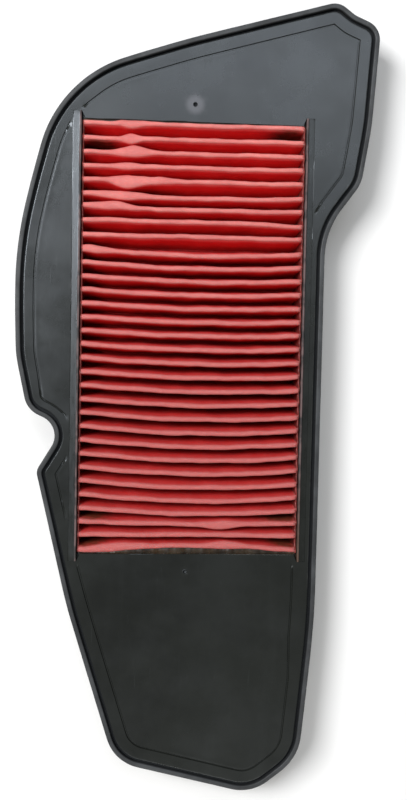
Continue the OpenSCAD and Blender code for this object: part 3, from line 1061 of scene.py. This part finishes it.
# Where the paper is soaked brown near the pack's corners: fold, place across, reach across
SOAKED = [(1.5, -36, 7), (0.5, 34, 8), (28.6, -38, 7), (28.6, 34, 9), (30.5, 36, 7), (30.5, -39, 7)]


def soaked_ends(x, y):
    total = np.zeros(np.shape(x))
    for k, at, across in SOAKED:
        place = np.interp(k, np.arange(FOLD_COUNT), FOLD_PLACES)
        total = total + np.exp(-((x - at) / across) ** 2 - ((y - place) / 2.6) ** 2)
    return np.clip(total * 1.3, 0, 1)


def build_paper():
    x = np.linspace(paper_low[0], paper_high[0], COLUMNS)
    along, height, mark = paper_path(x)
    d_along, d_height = np.gradient(along, axis=0), np.gradient(height, axis=0)
    size = np.hypot(d_along, d_height)
    side = np.stack([-d_height / size, d_along / size]) * PAPER_HALF
    # The path runs towards -Y, so the turned tangent points down, and the front skin is on its other side
    wide = np.broadcast_to(x, along.shape)
    front = np.stack([wide, along - side[0], height - side[1]], axis=-1)
    back = np.stack([wide, along + side[0], height + side[1]], axis=-1)
    for skin in (front, back):
        skin[..., 1] = np.clip(skin[..., 1], WINDOW[1] + 0.02, WINDOW[3] - 0.02)
        skin[..., 2] = np.clip(skin[..., 2], PAPER_UNDER, CREST_TOP)
    shell = Shell()
    rows, columns = along.shape
    numbers = [np.arange(rows * columns).reshape(rows, columns) + shell.add(skin) for skin in (front, back)]
    a, b = numbers
    for i in range(rows - 1):
        shell.band(a[i], a[i + 1], closed=False)
        shell.band(b[i + 1], b[i], closed=False)
    for one, other in ((a[0], b[0]), (b[-1], a[-1]), (a[:, 0], b[:, 0]), (b[:, -1], a[:, -1])):
        shell.band(one, other, closed=False)
    # The crest values paint crests and the pack's cut ends paler: a painted highlight, with some wear
    crest = np.repeat(mark, columns)
    cut_end = np.tile(np.abs(np.arange(columns) - (columns - 1) / 2) > columns / 2 - 1, rows)
    crest = np.maximum(crest, 0.6 * cut_end * (height.reshape(-1) > CREST_TOP - 7))
    both = np.vstack([front.reshape(-1, 3), back.reshape(-1, 3)])
    values = {
        "crest": np.concatenate([crest, crest * 0.2]),
        # Painted shade that grows towards the foot of the pack
        "foot_shade": np.clip((WINDOW[3] - 12 - both[:, 1]) / 95, 0, 1),
        "soaked": soaked_ends(both[:, 0], both[:, 1]) * (1 - 0.75 * np.concatenate([crest, crest]))
    }
    shell.piece("pleated_paper", PAPER, "paper", ["pleated_element"], sharp=75, values=values)


# ---------------------------------------------------------------- strips, potting and glue

def strip_rows(side, low, high, seed):
    """Sections of an end strip: flush with the panel, with a slim lip that stands up along the pack."""
    inner, way = (high[0], -1) if side == "left" else (low[0], 1)
    wide, base, top = high[0] - low[0], low[2], high[2]
    flush = PANEL_TOP - 0.09
    section = np.array([
        (0.05, base), (0, base + 0.1), (0, top - 0.22), (0.05, top - 0.07), (0.16, top),
        (STRIP_LIP - 0.16, top), (STRIP_LIP - 0.05, top - 0.07), (STRIP_LIP, top - 0.2),
        (STRIP_LIP + 0.03, flush + 0.12), (STRIP_LIP + 0.12, flush + 0.02), (STRIP_LIP + 0.25, flush),
        (wide - 0.1, flush), (wide - 0.03, flush - 0.01), (wide, flush - 0.04),
        (wide, base + 0.1), (wide - 0.05, base)
    ])
    rows = []
    count = 170
    for n, at in enumerate(np.linspace(low[1], high[1], count)):
        wave = 0.06 * (1 + ripple(at, seed, 34)) + 0.02 * (1 + ripple(at, seed + 1, 7))
        sink = 0.05 * (1 + ripple(at, seed + 2, 55))
        shrink = 0.1 if n in (0, count - 1) else 0.0
        lip = section[:, 1] > flush + 0.1
        u = np.clip(section[:, 0] + wave * (section[:, 0] < 0.3) * lip, shrink, wide - shrink)
        z = section[:, 1] - sink * lip - shrink * (section[:, 1] > flush - 0.2)
        rows.append(np.column_stack([inner + way * u, np.full(len(u), at), np.minimum(z, top)]))
    return np.array(rows)


def build_strip(side, low, high, seed):
    shell = Shell()
    rows = strip_rows(side, low, high, seed)
    shell.tube(rows)
    points = rows.reshape(-1, 3)
    inner = high[0] if side == "left" else low[0]
    # The lip's top is painted paler: a painted highlight, with stain from the paper
    lip_highlight_and_stain = (np.abs(points[:, 0] - inner) < STRIP_LIP + 0.1) * (points[:, 2] > PANEL_TOP)
    foot = np.clip((PACK_MIDDLE - 45 - points[:, 1]) / 40, 0, 1) * (side == "right")
    shell.piece(f"{side}_end_strip_bar", STRIP, "strip", [f"{side}_end_strip"],
                values={"lip_highlight_and_stain": lip_highlight_and_stain.astype(float), "rust": lip_highlight_and_stain * foot})


def heap(shell, x, near, far, base, tops, fall):
    """A closed bead of glue across the pack. near and far are its two sides, and fall its drop at them."""
    profile = np.linspace(0, 1, 5)
    rows = np.zeros((len(x), 10, 3))
    for i, t in enumerate([*profile, *profile[::-1]]):
        rows[:, i, 0] = x
        rows[:, i, 1] = near + t * (far - near)
        rows[:, i, 2] = tops - fall * (2 * t - 1) ** 2 if i < len(profile) else base
    shell.tube(rows)


def build_potting():
    for side, seed in (("left", 51), ("right", 61)):
        low, high = box(f"{side}_potting")
        y = np.linspace(low[1], high[1], 420)
        near = np.abs(y[:, None] - FOLD_PLACES).min(axis=1)
        tops = CREST_TOP - 0.55 - 1.2 * (1 - np.exp(-(near / 1.3) ** 2)) + 0.16 * ripple(y, seed, 9)
        pack, strip, way = (high[0], low[0], 1) if side == "left" else (low[0], high[0], -1)
        gap = strip + way * (0.26 + 0.06 * ripple(y, seed + 1, 11))
        ledge = tops - 3.2
        section = [(pack, low[2]), (strip, low[2]), (strip, ledge), (gap, ledge + 0.25), (gap, tops - 0.18),
                   (gap + 0.12 * way, tops - 0.04), ((gap + pack) / 2, tops), (pack, tops - 0.1)]
        rows = np.stack([np.column_stack([np.broadcast_to(sx, len(y)), y, np.broadcast_to(sz, len(y))])
                         for sx, sz in section], axis=1)
        shell = Shell()
        shell.tube(rows)
        shell.piece(f"{side}_potting_bead", POTTING, "potting", [f"{side}_potting"])


def build_flap_glue():
    for end, fold, way, seed in (("top", 0, 1, 71), ("bottom", FOLD_COUNT - 1, -1, 81)):
        low, high = box(f"{end}_flap_glue")
        x = np.linspace(low[0], high[0], 200)
        centre, half, _ = crest_line(fold, x)
        wall = np.full(len(x), WINDOW[3] if way > 0 else WINDOW[1])
        uneven = 0.25 * ripple(x, seed, 24) + 0.1 * ripple(x, seed + 1, 5)
        tops = np.minimum(high[2] + 0.95 + uneven, PANEL_TOP - 0.1)
        shell = Shell()
        heap(shell, x, centre + way * (half - 0.1), wall, low[2], tops, 0.12)
        shell.piece(f"{end}_flap_glue_bead", FLAP_GLUE, "potting", [f"{end}_flap_glue"])


# ---------------------------------------------------------------- rear of the pack

def cells(low, high, count):
    """The open intervals between a grid's bars along one axis."""
    start, end = low + LIP_WALL + LIP_GAP + GRID_RIM, high - LIP_WALL - LIP_GAP - GRID_RIM
    size = (end - start - (count - 1) * GRID_BAR) / count
    return [(start + i * (size + GRID_BAR), start + i * (size + GRID_BAR) + size) for i in range(count)]


def build_grid():
    across = cells(grid_low[0], grid_high[0], CELLS_ACROSS)
    along = cells(grid_low[1], grid_high[1], CELLS_ALONG)
    spans = catch_spans(CATCH_LENGTH + 2 * LIP_WALL)
    window = (CATCH_LEVEL - CATCH_HEIGHT / 2, CATCH_LEVEL + CATCH_HEIGHT / 2)

    def filled(x, y, z):
        edge_gap = min(x - grid_low[0], grid_high[0] - x)
        lip = edge_gap < LIP_WALL or min(y - grid_low[1], grid_high[1] - y) < LIP_WALL
        if z < GRID_PLATE:
            return not (any(a < x < b for a, b in across) and any(a < y < b for a, b in along))
        snapped = edge_gap < LIP_WALL and window[0] < z < window[1] and any(a < y < b for a, b in spans)
        return lip and not snapped

    xs = [grid_low[0], grid_high[0], grid_low[0] + LIP_WALL, grid_high[0] - LIP_WALL, *np.ravel(across)]
    ys = [grid_low[1], grid_high[1], grid_low[1] + LIP_WALL, grid_high[1] - LIP_WALL,
          *np.ravel(along), *np.ravel(spans)]
    shell = Shell()
    block_solid(shell, xs, ys, [0, GRID_PLATE, *window, grid_high[2]], filled)
    shell.piece("support_grid_moulding", GRID, "grid", ["support_grid"], bevel=0.13)


def build_threads():
    for n in range(1, 5):
        node = f"spacer_thread_{n}"
        low, high = box(node)
        middle, half = (low[0] + high[0]) / 2, (high[0] - low[0]) / 2
        y = np.linspace(low[1], high[1], 360)
        sway = 0.18 * ripple(y, 500 + n, 40)
        width = half * (0.82 + 0.12 * ripple(y, 520 + n, 12))
        ends = np.sqrt(np.clip(np.minimum(y - low[1], high[1] - y) / 0.9, 0.02, 1))
        top, tall = high[2] - 0.02, high[2] - low[2] - 0.02
        rows = [[(middle + s + w * e * math.cos(a), at, top - tall * math.sin(a) * e)
                 for a in np.linspace(0, math.pi, 8)] for s, w, e, at in zip(sway, width, ends, y)]
        shell = Shell()
        shell.tube(rows)
        shell.piece(f"{node}_bead", THREAD, "thread", [node])


build_plate()
build_pocket()
build_catches()
build_ribs()
build_seal()
build_paper()
build_strip("left", *left_strip, 31)
build_strip("right", *right_strip, 41)
build_potting()
build_flap_glue()
build_grid()
build_threads()


# ---------------------------------------------------------------- floor, light and camera

def make_floor():
    mesh = bpy.data.meshes.new("floor")
    reach = 4.0
    mesh.from_pydata([(-reach, -reach, 0), (reach, -reach, 0), (reach, reach, 0), (-reach, reach, 0)],
                     [], [(0, 1, 2, 3)])
    look = Look("pale_floor", Roughness=0.9, Specular_IOR_Level=0.1)
    look.colour(look.mix(look.noise(60, 3), (0.88, 0.88, 0.88), (0.90, 0.90, 0.90)))
    mesh.materials.append(look.material)
    floor = bpy.data.objects.new("floor", mesh)
    bpy.context.scene.collection.objects.link(floor)


def softbox(name, place, target, size, radiance, colour=(1, 1, 1)):
    """A rectangular area light of a given radiance. size is (width, height) in metres."""
    light = bpy.data.lights.new(name, "AREA")
    light.shape = "RECTANGLE"
    light.size, light.size_y = size
    light.energy = radiance * math.pi * size[0] * size[1]
    light.color = colour
    lamp = bpy.data.objects.new(name, light)
    lamp.location = place
    lamp.rotation_euler = (Vector(target) - Vector(place)).to_track_quat("-Z", "Y").to_euler()
    bpy.context.scene.collection.objects.link(lamp)


def make_camera():
    """Looks almost straight down at the panel's face, from the distance and tilt of the picture."""
    distance, lens = 0.350, 42.57
    tilt, lean, roll = (math.radians(angle) for angle in (2.5, -4.1, 1.1))
    middle = (cad_bounds[0] + cad_bounds[1]) / 2
    target = Vector((middle.x + 3.34 * MM, middle.y + 0.54 * MM, PANEL_TOP * MM))
    back = Vector((math.sin(lean), math.sin(tilt), 0))
    back.z = math.sqrt(1 - back.length_squared)
    right = (-back).cross(Vector((0, 1, 0))).normalized()
    up = right.cross(-back)
    turned_right = right * math.cos(roll) + up * math.sin(roll)
    turned_up = up * math.cos(roll) - right * math.sin(roll)
    camera = bpy.data.objects.new("camera", bpy.data.cameras.new("camera"))
    camera.data.lens = lens
    camera.data.clip_start, camera.data.clip_end = 0.01, 50
    camera.matrix_world = Matrix.Translation(target + distance * back) @ Matrix(
        (turned_right, turned_up, back)).transposed().to_4x4()
    bpy.context.scene.collection.objects.link(camera)
    bpy.context.scene.camera = camera


def make_light():
    world = bpy.data.worlds.new("studio")
    world.use_nodes = True
    world.node_tree.nodes["Background"].inputs["Color"].default_value = (0.97, 0.98, 1.0, 1)
    world.node_tree.nodes["Background"].inputs["Strength"].default_value = 0.125
    bpy.context.scene.world = world
    softbox("key", (-0.52, 0.29, 0.95), (0, 0.02, 0), (0.34, 0.42), 28.0)
    softbox("top", (0.12, 0.50, 1.0), (0, 0.05, 0), (0.72, 0.40), 3.4, (0.93, 0.96, 1.0))
    softbox("front", (0.05, -1.05, 0.85), (0, 0.03, 0), (0.9, 0.4), 4.6, (1.0, 0.98, 0.91))


make_floor()
make_light()
make_camera()
bpy.context.scene.view_settings.view_transform = "Standard"
